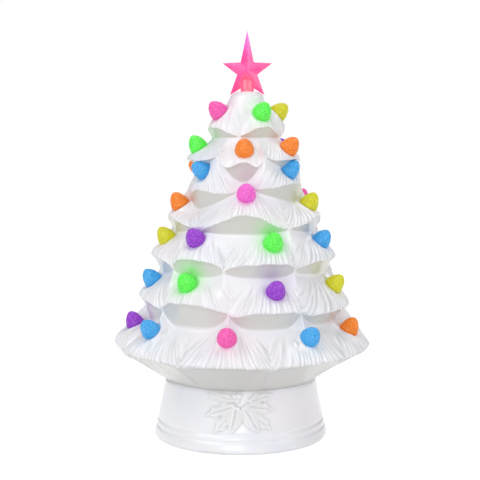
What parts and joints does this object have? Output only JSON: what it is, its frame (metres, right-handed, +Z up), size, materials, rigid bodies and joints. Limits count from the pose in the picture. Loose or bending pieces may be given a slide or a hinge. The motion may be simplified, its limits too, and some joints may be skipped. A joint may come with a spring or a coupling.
{
  "type": "ceramic christmas tree",
  "caption": "Glazed tabletop christmas tree with tinted plastic bulbs and a star, lifting off a lit round base with a battery door.",
  "frame": {"origin": "centre of the foot circle of the base, in the plane that the rubber feet stand on", "axes": "+Z up through the tree, -Y towards the viewer in the picture (the side with the leaf relief), +X to the viewer's right"},
  "size_m": [0.2254, 0.2226, 0.3559],
  "materials": {
    "board_green": "solder mask",
    "bulb_blue": "sugared, tinted clear plastic",
    "bulb_green": "sugared, tinted clear plastic",
    "bulb_lilac": "sugared, tinted clear plastic",
    "bulb_orange": "sugared, tinted clear plastic",
    "bulb_pink": "sugared, tinted clear plastic",
    "bulb_purple": "sugared, tinted clear plastic",
    "bulb_yellow": "sugared, tinted clear plastic",
    "cap_frosted": "frosted",
    "cell_wrap": "plain shrink sleeve",
    "foot_rubber": "matte",
    "glaze_white": "gloss white glaze over earthenware",
    "lamp_clear": "clear moulded",
    "lead_red": "insulated wire",
    "plastic_white": "satin moulded",
    "star_clear": "gloss, tinted clear plastic",
    "steel": "plated",
    "switch_black": "moulded"
  },
  "bodies": {
    "base": {"base_casting": "glaze_white", "bottom_plate": "plastic_white", "door_pin": "steel", "battery_cells": "cell_wrap", "contact_plates": "steel", "contact_springs": "steel", "lamp_board": "board_green", "board_screws": "steel", "lamps": "lamp_clear", "light_cap": "cap_frosted", "switch_body": "switch_black", "lead_wires": "lead_red", "rubber_feet": "foot_rubber"},
    "tree": {"tree_casting": "glaze_white", "bulb_a1": "bulb_pink", "bulb_a2": "bulb_green", "bulb_a3": "bulb_yellow", "bulb_a4": "bulb_blue", "bulb_b1": "bulb_pink", "bulb_b2": "bulb_green", "bulb_b3": "bulb_orange", "bulb_b4": "bulb_orange", "bulb_b5": "bulb_purple", "bulb_c1": "bulb_orange", "bulb_c2": "bulb_blue", "bulb_c3": "bulb_blue", "bulb_c4": "bulb_yellow", "bulb_c5": "bulb_green", "bulb_d1": "bulb_green", "bulb_d2": "bulb_orange", "bulb_d3": "bulb_lilac", "bulb_d4": "bulb_yellow", "bulb_d5": "bulb_pink", "bulb_d6": "bulb_purple", "bulb_e1": "bulb_blue", "bulb_e2": "bulb_yellow", "bulb_e3": "bulb_purple", "bulb_e4": "bulb_green", "bulb_e5": "bulb_blue", "bulb_e6": "bulb_orange", "bulb_e7": "bulb_pink", "bulb_f1": "bulb_pink", "bulb_f2": "bulb_blue", "bulb_f3": "bulb_green", "bulb_f4": "bulb_purple", "bulb_f5": "bulb_yellow", "bulb_f6": "bulb_green", "bulb_f7": "bulb_orange", "bulb_g1": "bulb_orange", "bulb_g2": "bulb_purple", "bulb_g3": "bulb_blue", "bulb_g4": "bulb_pink", "bulb_g5": "bulb_blue", "bulb_g6": "bulb_orange", "bulb_g7": "bulb_green", "bulb_g8": "bulb_yellow"},
    "star": {"star_topper": "star_clear"},
    "battery_door": {"battery_door": "plastic_white", "door_screw": "steel"},
    "switch": {"switch_knob": "switch_black"}
  },
  "joints": [
    {"name": "tree_lift", "type": "slide", "parent": "base", "child": "tree", "axis": [0, 0, 1], "range_m": [0, 0.06]},
    {"name": "star_lift", "type": "slide", "parent": "tree", "child": "star", "axis": [0, 0, 1], "range_m": [0, 0.018]},
    {"name": "door_hinge", "type": "hinge", "parent": "base", "child": "battery_door", "pos_m": [-0.02765, 0, 0.0054], "axis": [0, 1, 0], "range_deg": [0, 90]},
    {"name": "switch_slide", "type": "slide", "parent": "base", "child": "switch", "axis": [1, 0, 0], "range_m": [0, 0.004]}
  ]
}
